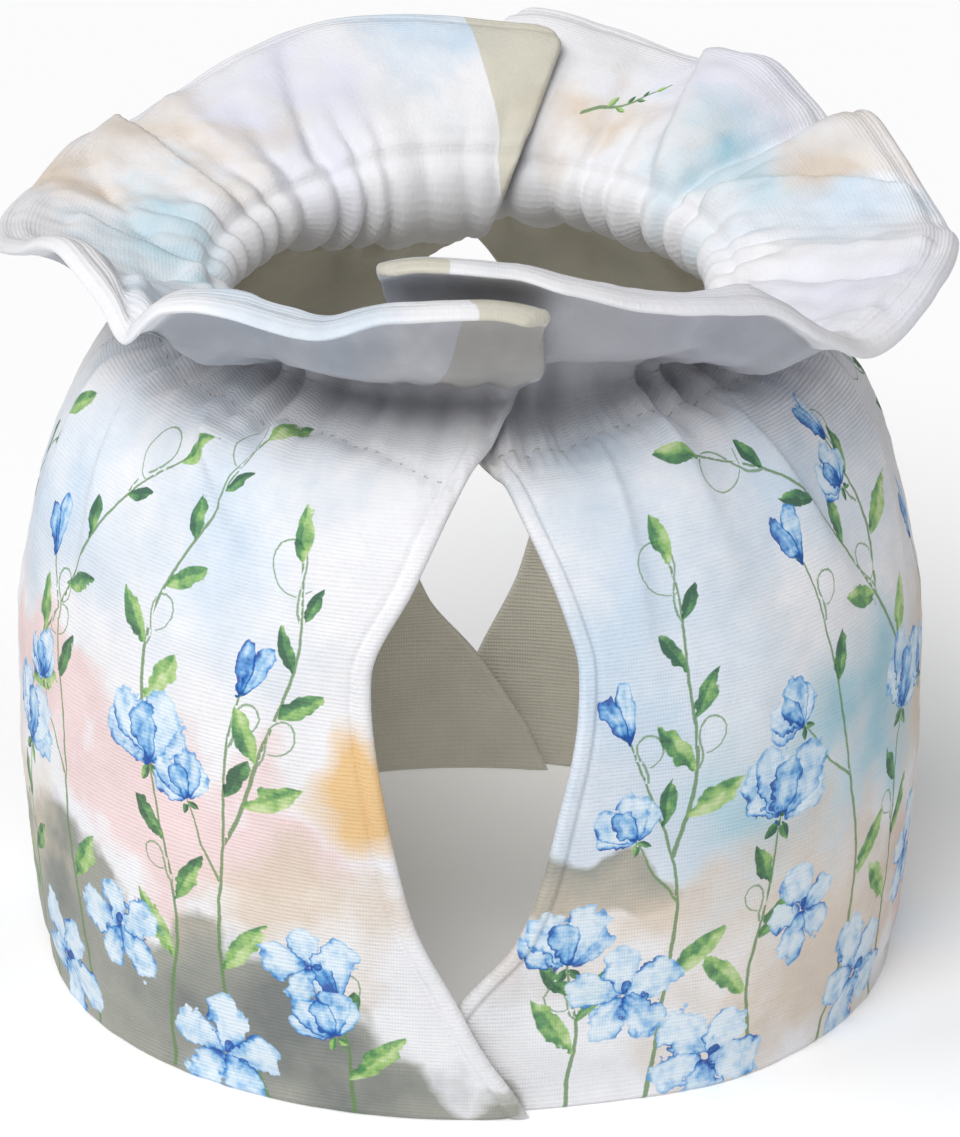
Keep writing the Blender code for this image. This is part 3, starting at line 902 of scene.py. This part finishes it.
def lay_out_print():
    """Return every stroke of the print, from its two tables."""
    design = Print()
    for row in zip(*SPRAYS.values()):
        design.spray(*row)
    for azimuth, run, turn, size in zip(*BLOOMS.values()):
        design.open_flower(math.radians(azimuth) * PRINT_RADIUS, run, turn, size)
    return design


def turned(x, y, heading):
    """Return a distance's part along a direction, and its part across it."""
    return x * np.cos(heading) + y * np.sin(heading), y * np.cos(heading) - x * np.sin(heading)


def stroke_places(strokes, centre, corners):
    """Return each corner's place on the stroke that covers its face best.

    A place is the distance along the stroke and the distance across it, both in its own
    lengths and half widths, and the stroke's tone. Far from every stroke all are -9.
    """
    best = np.full(len(centre), -1.0)
    chosen = np.full(len(centre), -1)
    table = np.array(strokes).T
    for i, (x, y, heading, length, wide, _) in enumerate(zip(*table)):
        away = centre - (x, y)
        near = np.flatnonzero(np.hypot(away[:, 0], away[:, 1]) < 1.5 * length + 4)
        along, across = turned(away[near, 0], away[near, 1], heading)
        inside = 6 - (2 * along / length - 1) ** 2 - np.abs(across / wide)
        better = near[inside > best[near]]
        best[better] = inside[inside > best[near]]
        chosen[better] = i
    x, y, heading, length, wide, tone = table[:, chosen, None]
    along, across = turned(corners[..., 0] - x, corners[..., 1] - y, heading)
    place = np.stack((along / length, across / wide, tone + 0 * along), axis=-1)
    place[chosen < 0] = FAR_STROKE
    return place


def stem_places(stems, centre, corners):
    """Return each corner's place by the nearest stem: across in mm, half width and tone."""
    best = np.full(len(centre), 5.0)
    place = np.tile(np.array(FAR_STEM, float), corners.shape[:2] + (1,))
    for x, y, heading, wide, tone in stems:
        low = np.array((x.min(), y.min())) - 5
        high = np.array((x.max(), y.max())) + 5
        near = np.flatnonzero(np.all((centre > low) & (centre < high), axis=1))
        if not len(near):
            continue
        away = np.hypot(centre[near, 0, None] - x, centre[near, 1, None] - y)
        point = away.argmin(axis=1)
        closer = away.min(axis=1) < best[near]
        near, point = near[closer], point[closer]
        best[near] = away.min(axis=1)[closer]
        away_x = corners[near, :, 0] - x[point, None]
        away_y = corners[near, :, 1] - y[point, None]
        across = turned(away_x, away_y, heading[point, None])[1]
        place[near, :, 0] = across
        place[near, :, 1] = wide[point, None]
        place[near, :, 2] = tone[point, None]
    return place


def store(mesh, name, domain, values):
    """Store three values for each of a mesh's points or corners."""
    layer = mesh.attributes.new(name, "FLOAT_VECTOR", domain)
    layer.data.foreach_set("vector", np.ascontiguousarray(values, np.float32).ravel())


def write_print(mesh, across, run, faces, outer_faces, outer_points, side):
    """Store on the mesh the places of the weave and of every coat of the print.

    Inside the body the cloth has no flowers, and one even tint in place of the washes.
    """
    spots = np.stack((across, run), axis=-1)
    corners = spots[faces]
    centre = corners.mean(axis=1)
    design = lay_out_print()
    seam = float(cloth_run(np.array(SEAM_HEIGHT)))
    bare = (np.arange(len(faces)) >= outer_faces) & (centre[:, 1] < seam)
    for name, coat in zip(COATS, design.coats):
        place = stroke_places(coat, centre, corners)
        place[bare] = FAR_STROKE
        store(mesh, name, "CORNER", place)
    place = stem_places(design.stems, centre, corners)
    place[bare] = FAR_STEM
    store(mesh, "stems", "CORNER", place)

    past_seam, to_rim = run - seam, seam + RUFFLE_WIDTH - run
    outside = np.arange(len(across)) < outer_points
    fields = wash_fields(across, run, side)
    # Painted shade: slate grey over the outer face from a little below the neck's seam to near the rim,
    # which is the neck and the ruffle's underside
    fields[PAINTED_SHADE] = 2 * outside * within(past_seam, PAINTED_SHADE_RISE) * within(to_rim, PAINTED_SHADE_FALL) - 1
    inside = ~outside * within(-past_seam, INSIDE_FALL)
    fields = fields - (1 + fields) * inside
    fields[STONE] += inside * (1 + INSIDE_FULL)
    for i in range(0, FIELDS, 3):
        store(mesh, f"washes_{i // 3 + 1}", "POINT", fields[i : i + 3].T)
    ribbed = 1 - SMOOTH_RUFFLE * within(past_seam, SMOOTH_RISE) * within(to_rim, SMOOTH_FALL)
    store(mesh, "weave", "POINT", np.column_stack((spots, ribbed)))


def add_object(name, data):
    """Return a new object of the scene that shows the given data."""
    made = bpy.data.objects.new(name, data)
    bpy.context.scene.collection.objects.link(made)
    return made


def smooth_mesh(name, points, faces):
    """Return a smoothly shaded mesh from points in millimetres."""
    mesh = bpy.data.meshes.new(name)
    mesh.from_pydata((points * METRE).tolist(), [], faces)
    mesh.update()
    mesh.shade_smooth()
    return mesh


def build_cloth(name, node, turn, rim, seam_line):
    """Build one half of the cloth, with its print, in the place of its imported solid."""
    outer, inner, level, azimuth = cloth_faces(turn, rim, seam_line)
    rows, count = level.shape
    faces = sheet_faces(rows, count)
    inside = (slice(1, -1), slice(1, -1))

    def both(values, back):
        width = values.shape[2:]
        return np.concatenate((values.reshape(-1, *width), back[inside].reshape(-1, *width)))

    run = cloth_run(level)
    across = np.radians(azimuth) * PRINT_RADIUS
    mesh = smooth_mesh(name, both(outer, inner), faces.tolist())
    sizes = ((rows - 1) * (count - 1), rows * count)
    write_print(mesh, both(across, across), both(run, run), faces, *sizes, 1 if turn else -1)
    mesh.materials.append(printed_cotton(name))
    cloth = add_object(name, mesh)
    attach(cloth, ROOT)
    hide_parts(node)
    return cloth


def build_stitches(name, turn, rim, seam_line):
    """Build the row of stitches along the lower side of the elastic's channel.

    The row is the outer face's line at the channel's level, cut into equal lengths. A
    stitch is a thread along it that humps up in the middle and dives in at both ends: its
    section is a circle whose radius falls as the root of 1 - s^6 from the middle, s = 0.
    """
    outer, _, level, azimuth = cloth_faces(turn, rim, seam_line)
    line = curve(azimuth, seam_line, "level")
    row = np.abs(level - line).argmin(axis=0)
    column = np.arange(outer.shape[1])
    path = outer[row, column][STITCH_COLUMNS]
    sides = np.roll(path, -2, axis=0) - np.roll(path, 2, axis=0)
    ups = outer[row + 1, column][STITCH_COLUMNS] - path
    length = np.concatenate(([0.0], np.cumsum(np.linalg.norm(np.diff(path, axis=0), axis=1))))
    places = np.arange(STITCH_INSET, length[-1] - STITCH_INSET, STITCH_PITCH)

    def along(values):
        return np.stack([np.interp(places, length, values[:, i]) for i in range(3)], axis=-1)

    side = unit(along(sides))
    out = unit(np.cross(side, along(ups)))
    count, around = STITCH_PLAN
    s = np.linspace(-1, 1, count)[:, None]
    angle = np.linspace(0, math.tau, around, endpoint=False)
    radius = STITCH_THICK / 2 * np.sqrt(np.maximum(1 - s**6, 0.02))
    reach = s * STITCH_LENGTH / 2 + 0 * angle
    rise = radius * np.cos(angle) + STITCH_LIFT - STITCH_DIVE * s**2
    swing = radius * np.sin(angle)
    points = along(path)[:, None, None]
    for course, way in ((side, reach), (out, rise), (np.cross(out, side), swing)):
        points = points + course[:, None, None] * way[..., None]
    i, j = np.meshgrid(np.arange(count - 1), np.arange(around), indexing="ij")
    low, high = i * around, (i + 1) * around
    k = (j + 1) % around
    quad = np.stack((low + j, high + j, high + k, low + k), axis=-1)
    shift = np.arange(len(places))[:, None] * count * around
    faces = (quad.reshape(1, -1, 4) + shift[..., None]).reshape(-1, 4).tolist()
    cap = np.arange(around)[None, :]
    faces += (cap + shift).tolist()
    faces += (cap[:, ::-1] + (count - 1) * around + shift).tolist()
    mesh = smooth_mesh(name, points.reshape(-1, 3), faces)
    mesh.materials.append(sewing_thread())
    stitches = add_object(name, mesh)
    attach(stitches, ROOT)


def add(tree, kind, inputs=(), out=0, **settings):
    """Add a shader node with its settings and inputs, and return one of its outputs.

    The inputs are in the node's own order, or else a dictionary by number or name. A socket
    among them is linked.
    """
    made = tree.nodes.new("ShaderNode" + kind)
    for name, value in settings.items():
        setattr(made, name, value)
    pairs = inputs.items() if isinstance(inputs, dict) else enumerate(inputs)
    for key, value in pairs:
        if isinstance(value, bpy.types.NodeSocket):
            tree.links.new(value, made.inputs[key])
        else:
            made.inputs[key].default_value = value
    return made.outputs[out]


def paint_over(tree, mask, depth, stops, ground):
    """Lay a paint over the ground: its depth picks a colour between the stops."""
    paint = add(tree, "ValToRGB", (depth,))
    fill_ramp(paint.node, stops)
    return add(tree, "Mix", {0: mask, 6: ground, 7: paint}, 2, data_type="RGBA")


def fill_ramp(ramp, stops):
    """Give a colour ramp its stops, each a place and an sRGB hex code."""
    elements = ramp.color_ramp.elements
    while len(elements) < len(stops):
        elements.new(0.5)
    for element, (place, code) in zip(elements, stops):
        element.position = place
        element.color = (*linear(code), 1.0)


def wash_coat(tree, field, noise, tint, ground):
    """Lay one wash over the ground, from a rim that wavers to its full strength inside."""
    code, begin, full, strength, wander = tint
    depth = add(tree, "Math", (noise, wander, field), operation="MULTIPLY_ADD")
    mask = add(tree, "MapRange", (depth, begin, full, 0.0, strength))
    paint = (*linear(code), 1.0)
    return add(tree, "Mix", {0: mask, 6: ground, 7: paint}, 2, data_type="RGBA")


def stroke_parts(tree, name, waver):
    """Return a place's distance along its stroke, from -1 to 1, and across it, and its tone."""
    place = add(tree, "Attribute", out="Vector", attribute_name=name)
    moved = add(tree, "VectorMath", (place, waver), operation="ADD")
    along, across, _ = add(tree, "SeparateXYZ", (moved,)).node.outputs
    along = add(tree, "MapRange", (along, 0.0, 1.0, -1.0, 1.0), clamp=False)
    return along, across, add(tree, "SeparateXYZ", (place,), "Z")


def petal_coat(tree, name, waver, clouds, ground):
    """Paint one coat of petals over the ground.

    A petal is an ellipse that narrows to its base. Its paint is pale in the middle, darker
    at its base, along one side and at the rim where wet paint dries, and clouded by water.
    Faint veins fan out from its base.
    """
    along, across, tone = stroke_parts(tree, name, waver)
    narrow = add(tree, "MapRange", (along, -1.2, 0.7, 0.36, 1.05))
    side = add(tree, "Math", (across, narrow), operation="DIVIDE")
    flat = add(tree, "CombineXYZ", (along, side))
    reach = add(tree, "VectorMath", (flat,), "Value", operation="LENGTH")
    mask = add(tree, "MapRange", (reach, 1.0, 0.94, 0.0, 0.93), **SMOOTH)
    rim = add(tree, "MapRange", (reach, 0.74, 0.97, 0.0, 0.34), **SMOOTH)
    base = add(tree, "MapRange", (along, -0.1, -1.0, 0.0, 0.62))
    shade = add(tree, "MapRange", (side, 0.35, 0.95, 0.0, 0.4), **SMOOTH)
    own = add(tree, "Math", (tone, 310.0, clouds), operation="MULTIPLY_ADD")
    fan = add(tree, "Math", (side, 9.0, own), operation="MULTIPLY_ADD")
    vein = add(tree, "Math", (fan,), operation="SINE")
    depth = add(tree, "Math", (vein, 0.08, tone), operation="MULTIPLY_ADD")
    for share in (rim, base, shade, clouds):
        depth = add(tree, "Math", (depth, share), operation="ADD")
    return paint_over(tree, mask, depth, PETAL_PAINT, ground)


def leaf_coat(tree, waver, clouds, ground):
    """Paint the leaves: two arcs that meet in points, one side of the midrib darker."""
    along, across, tone = stroke_parts(tree, "leaves", waver)
    side = add(tree, "Math", (across,), operation="ABSOLUTE")
    reach = add(tree, "Math", (along, along, side), operation="MULTIPLY_ADD")
    mask = add(tree, "MapRange", (reach, 1.0, 0.86, 0.0, 0.94), **SMOOTH)
    half = add(tree, "MapRange", (across, -0.1, 0.15, 0.0, 0.34))
    depth = add(tree, "Math", (tone, half), operation="ADD")
    depth = add(tree, "Math", (depth, clouds), operation="ADD")
    return paint_over(tree, mask, depth, LEAF_PAINT, ground)


def stem_coat(tree, waver, ground):
    """Paint the stems and tendrils: thin lines whose width and colour vary."""
    place = add(tree, "Attribute", out="Vector", attribute_name="stems")
    across, half, tone = add(tree, "SeparateXYZ", (place,)).node.outputs
    bend = add(tree, "SeparateXYZ", (waver,))
    across = add(tree, "Math", (bend, 2.0, across), operation="MULTIPLY_ADD")
    away = add(tree, "Math", (across,), operation="ABSOLUTE")
    left = add(tree, "Math", (half, away), operation="SUBTRACT")
    mask = add(tree, "MapRange", (left, -0.1, 0.16, 0.0, 0.85), **SMOOTH)
    return paint_over(tree, mask, tone, STEM_PAINT, ground)


def new_material(name, values):
    """Return a new material and its shader, whose inputs have the given values."""
    material = bpy.data.materials.new(name)
    material.use_nodes = True
    shader = material.node_tree.nodes["Principled BSDF"]
    for key, value in values.items():
        shader.inputs[key].default_value = value
    return material, shader


def printed_cotton(name):
    """Return printed plain-weave cotton, with fine ribs across and a soft matt bloom.

    Cotton scatters light softly with hardly a highlight, and its raised weft shows as ribs
    about 0.8 mm apart, drawn a little coarser than the cloth's own threads so they show.
    """
    values = {"Roughness": 0.82, "Specular IOR Level": 0.3, "Sheen Weight": 0.06, "Sheen Roughness": 0.5}
    material, shader = new_material(name + "_cotton", values)
    tree = material.node_tree
    weave = add(tree, "Attribute", out="Vector", attribute_name="weave")
    noises = []
    for scale, detail, rough in ((0.28, 2.0, 0.6), (0.045, 3.5, 0.6), (0.2, 3.0, 0.6), (0.9, 1.5, 0.5)):
        grain = {"Vector": weave, "Scale": scale, "Detail": detail, "Roughness": rough}
        noises.append(add(tree, "TexNoise", grain, noise_dimensions="2D"))
    slow, cloud, pool, slub = noises
    along = add(tree, "MapRange", (slow, 0.0, 1.0, 0.16, -0.16))
    aside = add(tree, "MapRange", (slow, 0.0, 1.0, -0.42, 0.42))
    waver = add(tree, "CombineXYZ", (along, aside))

    # The washes by turns drift one way and the other, so that their rims don't run together
    drifts = [add(tree, "MapRange", (cloud, 0.0, 1.0, -side, side)) for side in (0.6, -0.6)]
    ground = (*cosy().ground, 1.0)
    # The last tint laid is the painted shade on the neck and under the ruffle
    for i, tint in enumerate(TINTS):
        if i % 3 == 0:
            layer = add(tree, "Attribute", out="Vector", attribute_name=f"washes_{i // 3 + 1}")
            fields = add(tree, "SeparateXYZ", (layer,)).node.outputs
        ground = wash_coat(tree, fields[i % 3], drifts[i % 2], tint, ground)
    tide = add(tree, "MapRange", (cloud, 0.3, 0.7, 0.93, 1.04))
    ground = add(tree, "Mix", {0: 1.0, 6: ground, 7: tide}, 2, **TINGE)
    ground = stem_coat(tree, waver, ground)
    clouds = add(tree, "MapRange", (pool, 0.32, 0.7, -0.26, 0.32))
    ground = leaf_coat(tree, waver, clouds, ground)
    for coat in COATS[:LEAVES]:
        ground = petal_coat(tree, coat, waver, clouds, ground)

    # Ribs that bow a little, the fainter warp across them, and slubs that wear both away
    across, run, ribbed = add(tree, "SeparateXYZ", (weave,)).node.outputs
    rib_turn = math.tau * METRE / cosy().rib_pitch
    slant = add(tree, "Math", (across, 0.19, run), operation="MULTIPLY_ADD")
    bow = add(tree, "Math", (slant, 0.37), operation="MULTIPLY")
    bow = add(tree, "Math", (bow,), operation="SINE")
    bow = add(tree, "Math", (bow, 0.35, run), operation="MULTIPLY_ADD")
    rib = add(tree, "Math", (bow, rib_turn), operation="MULTIPLY")
    rib = add(tree, "Math", (rib,), operation="SINE")
    warp = add(tree, "Math", (across, rib_turn / 0.7), operation="MULTIPLY")
    warp = add(tree, "Math", (warp,), operation="SINE")
    both = add(tree, "Math", (warp, 0.3, rib), operation="MULTIPLY_ADD")
    worn = add(tree, "MapRange", (slub, 0.3, 0.7, 0.35, 1.0))
    shown = add(tree, "Math", (worn, ribbed), operation="MULTIPLY")
    uneven = add(tree, "Math", (both, shown), operation="MULTIPLY")
    height = add(tree, "Math", (slub, 1.8, uneven), operation="MULTIPLY_ADD")
    bump = add(tree, "Bump", {"Height": height, "Strength": 0.5, "Distance": 0.00012})
    # Painted light and shade: the colour follows the ribs, a little darker in the grooves between them
    # and a little lighter on their tops, and fainter where slubs wear them away
    thread = add(tree, "MapRange", (uneven, -1.2, 1.2, 0.965, 1.015))
    ground = add(tree, "Mix", {0: 1.0, 6: ground, 7: thread}, 2, **TINGE)
    tree.links.new(ground, shader.inputs["Base Color"])
    tree.links.new(bump, shader.inputs["Normal"])
    return material


def sewing_thread():
    """Return polyester sewing thread: a pale grey twist with a faint gloss.

    Its plies show as bands about 0.5 mm apart, coarser than real so that they show, and its
    colour is darker towards the grooves between them: painted shade.
    """
    material = bpy.data.materials.get("sewing_thread")
    if material:
        return material
    material, shader = new_material("sewing_thread", {"Roughness": 0.55})
    tree = material.node_tree
    place = add(tree, "TexCoord", out="Object")
    bands = add(tree, "TexWave", {"Vector": place, "Scale": 600.0, "Distortion": 2.0}, 1)
    # Painted shade: the pale grey darkens where the bands lie low, in the grooves between plies
    tone = add(tree, "ValToRGB", (bands,))
    fill_ramp(tone.node, THREAD_AND_PLY_SHADE)
    bump = add(tree, "Bump", {"Height": bands, "Strength": 0.4, "Distance": 0.0001})
    tree.links.new(tone, shader.inputs["Base Color"])
    tree.links.new(bump, shader.inputs["Normal"])
    return material


class CosySettings(bpy.types.PropertyGroup):
    """Sizes and colours of the cosy that a user would change."""

    thickness: FloatProperty(
        name="Cloth thickness", description="Thickness of the quilted cloth",
        default=0.0023, min=0.001, unit="LENGTH",
    )
    roll: FloatProperty(
        name="Rim roll", description="Thickness of the ruffle's rolled rim",
        default=0.0032, min=0.001, unit="LENGTH",
    )
    gathers: IntProperty(
        name="Gathers", description="Number of gathers round the neck", default=42, min=8, max=90
    )
    gather_depth: FloatProperty(
        name="Gather depth", description="Depth of the gathers at the neck",
        default=0.0034, min=0.0, unit="LENGTH",
    )
    fold_share: FloatProperty(
        name="Soft folds", description="Share of the packed folds' depth on the body",
        default=0.9, min=0.0, max=2.0,
    )
    fold_depth: FloatProperty(
        name="Body folds", description="Share of the depth of the body's crisp folds",
        default=1.5, min=0.0, max=4.0,
    )
    ruffle_depth: FloatProperty(
        name="Ruffle folds", description="Share of the depth of the ruffle's crisp folds",
        default=1.0, min=0.0, max=2.0,
    )
    rib_pitch: FloatProperty(
        name="Rib pitch", description="Distance between the ribs of the weave",
        default=0.00085, min=0.0003, unit="LENGTH",
    )
    ground: FloatVectorProperty(
        name="Ground", description="Colour of the cloth between the washes",
        default=linear("#e9e9ec"), subtype="COLOR",
    )


class StageSettings(bpy.types.PropertyGroup):
    """Floor, light and camera."""

    floor: FloatVectorProperty(
        name="Floor", description="Colour of the floor", default=linear("#f4f4f5"), subtype="COLOR"
    )
    key_power: FloatProperty(
        name="Front light", description="Strength of the broad light from the front", default=2.1
    )
    key_size: FloatProperty(
        name="Light size", description="Breadth of the lights", default=math.radians(36), subtype="ANGLE"
    )
    fill_strength: FloatProperty(
        name="Fill", description="Strength of the even light all round", default=0.09
    )
    elevation: FloatProperty(
        name="Camera elevation", description="Height of the camera's view above level",
        default=math.radians(22.8), subtype="ANGLE",
    )
    distance: FloatProperty(
        name="Camera distance", description="Distance from the aim point", default=1.4, unit="LENGTH"
    )


def cosy():
    """Return the cosy's settings in this scene."""
    return bpy.context.scene.cosy_settings


class COSY_OT_cloth(bpy.types.Operator):
    """Build both printed halves of the cosy, gathered at the neck"""

    bl_idname = "cosy.cloth"
    bl_label = "Cloth halves"

    def execute(self, context):
        left = build_cloth("left_cloth", "half_left", 0.0, LEFT_RIM, LEFT_CHANNEL)
        right = build_cloth("right_cloth", "half_right", 180.0, RIGHT_RIM, RIGHT_CHANNEL)
        return {"FINISHED"}


class COSY_OT_stitches(bpy.types.Operator):
    """Build the stitches along the neck's channel on both halves"""

    bl_idname = "cosy.stitches"
    bl_label = "Channel stitches"

    def execute(self, context):
        build_stitches("left_stitches", 0.0, LEFT_RIM, LEFT_CHANNEL)
        build_stitches("right_stitches", 180.0, RIGHT_RIM, RIGHT_CHANNEL)
        return {"FINISHED"}


class COSY_OT_stage(bpy.types.Operator):
    """Build the floor, the soft lights and the camera"""

    bl_idname = "cosy.stage"
    bl_label = "Stage"

    def execute(self, context):
        settings = context.scene.stage_settings
        build_floor(settings)
        build_lights(settings)
        build_camera(settings)
        return {"FINISHED"}


def build_floor(settings):
    """Build the pale floor that the hem stands on, which glows a little like lit paper."""
    corners = np.array(((-1, -1, 0), (1, -1, 0), (1, 1, 0), (-1, 1, 0)))
    mesh = smooth_mesh("floor", corners * FLOOR_REACH, [(0, 1, 2, 3)])
    values = {"Base Color": (*settings.floor, 1.0), "Roughness": 0.9, "Specular IOR Level": 0.1}
    paper, shader = new_material("matt_paper", values)
    shader.inputs["Emission Color"].default_value = (1.0, 1.0, 1.0, 1.0)
    shader.inputs["Emission Strength"].default_value = 0.14
    paper.cycles.emission_sampling = "NONE"
    mesh.materials.append(paper)
    add_object("floor", mesh)


def build_lights(settings):
    """Build an even white surround and three broad soft lights from above."""
    scene = bpy.context.scene
    scene.world = bpy.data.worlds.new("surround")
    scene.world.use_nodes = True
    back = scene.world.node_tree.nodes["Background"]
    back.inputs["Color"].default_value = (1.0, 1.0, 1.0, 1.0)
    back.inputs["Strength"].default_value = settings.fill_strength
    for name, course, share in LIGHTS:
        data = bpy.data.lights.new(name, "SUN")
        data.angle = settings.key_size
        data.energy = settings.key_power * share
        light = add_object(name, data)
        light.rotation_mode = "QUATERNION"
        light.rotation_quaternion = Vector(course).to_track_quat("-Z", "Y")
    scene.view_settings.view_transform = "Standard"


def build_camera(settings):
    """Build the camera at the photograph's angle, aimed a little above the belly's middle."""
    width, height = PHOTO_SIZE
    data = bpy.data.cameras.new("camera")
    data.sensor_width = SENSOR
    data.lens = FOCAL_PIXELS * SENSOR / height
    data.shift_x = (width / 2 - AIM_PIXEL[0]) / height
    data.shift_y = (AIM_PIXEL[1] - height / 2) / height
    data.clip_end = CLIP_END
    camera = add_object("camera", data)
    back = Vector((0, -math.cos(settings.elevation), math.sin(settings.elevation)))
    camera.location = Vector(AIM) + back * settings.distance
    camera.rotation_mode = "QUATERNION"
    camera.rotation_quaternion = (-back).to_track_quat("-Z", "Y")
    bpy.context.scene.camera = camera


class COSY_PT_panel(bpy.types.Panel):
    """List what the add-on builds"""

    bl_label = "Tea Cosy"
    bl_idname = "COSY_PT_panel"
    bl_space_type = "VIEW_3D"
    bl_region_type = "UI"
    bl_category = "Tea Cosy"

    def draw(self, context):
        for group in (context.scene.cosy_settings, context.scene.stage_settings):
            for name in group.__annotations__:
                self.layout.prop(group, name)
        for operator in (COSY_OT_cloth, COSY_OT_stitches, COSY_OT_stage):
            self.layout.operator(operator.bl_idname)


CLASSES = (CosySettings, StageSettings, COSY_OT_cloth, COSY_OT_stitches, COSY_OT_stage, COSY_PT_panel)


def register():
    for kind in CLASSES:
        bpy.utils.register_class(kind)
    bpy.types.Scene.cosy_settings = PointerProperty(type=CosySettings)
    bpy.types.Scene.stage_settings = PointerProperty(type=StageSettings)


def unregister():
    del bpy.types.Scene.stage_settings
    del bpy.types.Scene.cosy_settings
    for kind in reversed(CLASSES):
        bpy.utils.unregister_class(kind)


def main():
    register()
    bpy.ops.cosy.cloth()
    bpy.ops.cosy.stitches()
    bpy.ops.cosy.stage()


if __name__ == "__main__":
    main()
